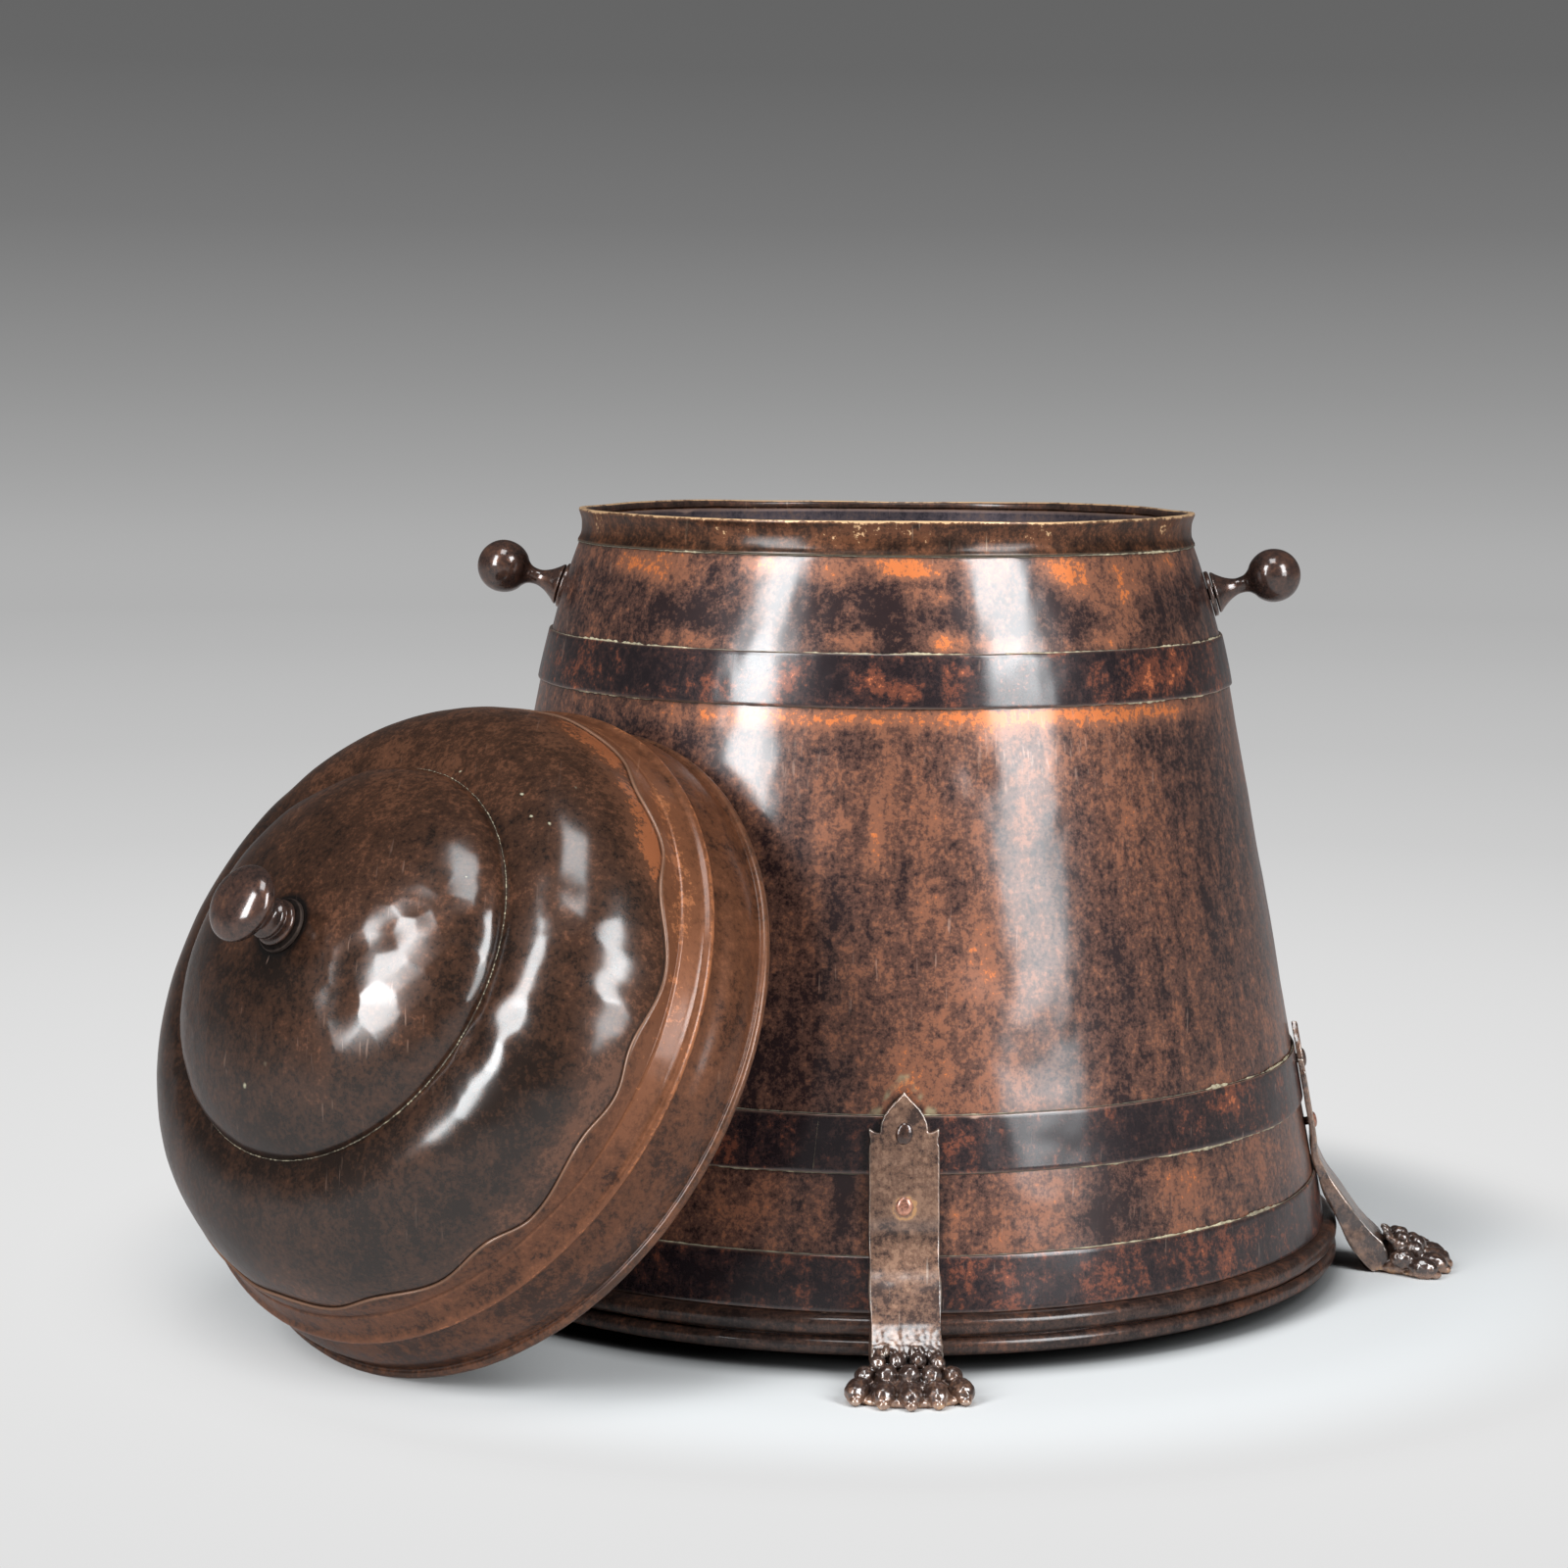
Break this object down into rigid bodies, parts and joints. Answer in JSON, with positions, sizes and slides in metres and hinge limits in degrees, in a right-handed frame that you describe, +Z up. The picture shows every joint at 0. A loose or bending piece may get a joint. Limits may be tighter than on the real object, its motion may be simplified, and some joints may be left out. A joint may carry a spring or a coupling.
{
  "type": "coal scuttle",
  "caption": "Round tapering coal bin of lapped copper courses on lion-paw legs, with side knobs and a domed lid leaning against it.",
  "frame": {"origin": "centre of the bin's flat underside, on the bin's own axis; the floor is 8 mm below it, at the soles of the paws", "axes": "+Z up along the bin's axis; -Y towards the front leg; +X towards the right-hand leg and handle; the lid leans on the bin towards -X and -Y"},
  "size_m": [0.6253, 0.6262, 0.3815],
  "materials": {
    "wall_copper": "dark brown patinated copper with orange patches, burnished",
    "band_copper": "near-black patinated copper straps with pale soldered edges",
    "lid_copper": "planished dark copper, dented and polished",
    "leg_brass": "worn brown brass castings",
    "rivet_copper": "worn copper rivets",
    "turned_bronze": "dark turned bronze, smooth",
    "blackened": "blackened iron wire and washers"
  },
  "bodies": {
    "bin": {"base_hoop": "band_copper", "base_pan": "band_copper", "body_wall": "wall_copper", "bottom_band": "band_copper", "handle_left": "turned_bronze", "handle_right": "turned_bronze", "handle_washer_left": "blackened", "handle_washer_right": "blackened", "leg_back": "leg_brass", "leg_front": "leg_brass", "leg_left": "leg_brass", "leg_right": "leg_brass", "leg_rivet_back_lower": "rivet_copper", "leg_rivet_back_upper": "rivet_copper", "leg_rivet_front_lower": "rivet_copper", "leg_rivet_front_upper": "rivet_copper", "leg_rivet_left_lower": "rivet_copper", "leg_rivet_left_upper": "rivet_copper", "leg_rivet_right_lower": "rivet_copper", "leg_rivet_right_upper": "rivet_copper", "lower_band": "band_copper", "lower_course": "wall_copper", "neck_collar": "wall_copper", "shoulder_course": "wall_copper", "upper_band": "band_copper"},
    "lid": {"lid_crown": "lid_copper", "lid_dome": "lid_copper", "lid_knob": "turned_bronze", "lid_knob_washer": "blackened", "lid_rim_wire": "blackened", "lid_skirt": "lid_copper"}
  },
  "joints": [
    {"name": "lid_lift", "type": "slide", "parent": "bin", "child": "lid", "axis": [0, 0, 1], "range_m": [0, 0.4]}
  ]
}
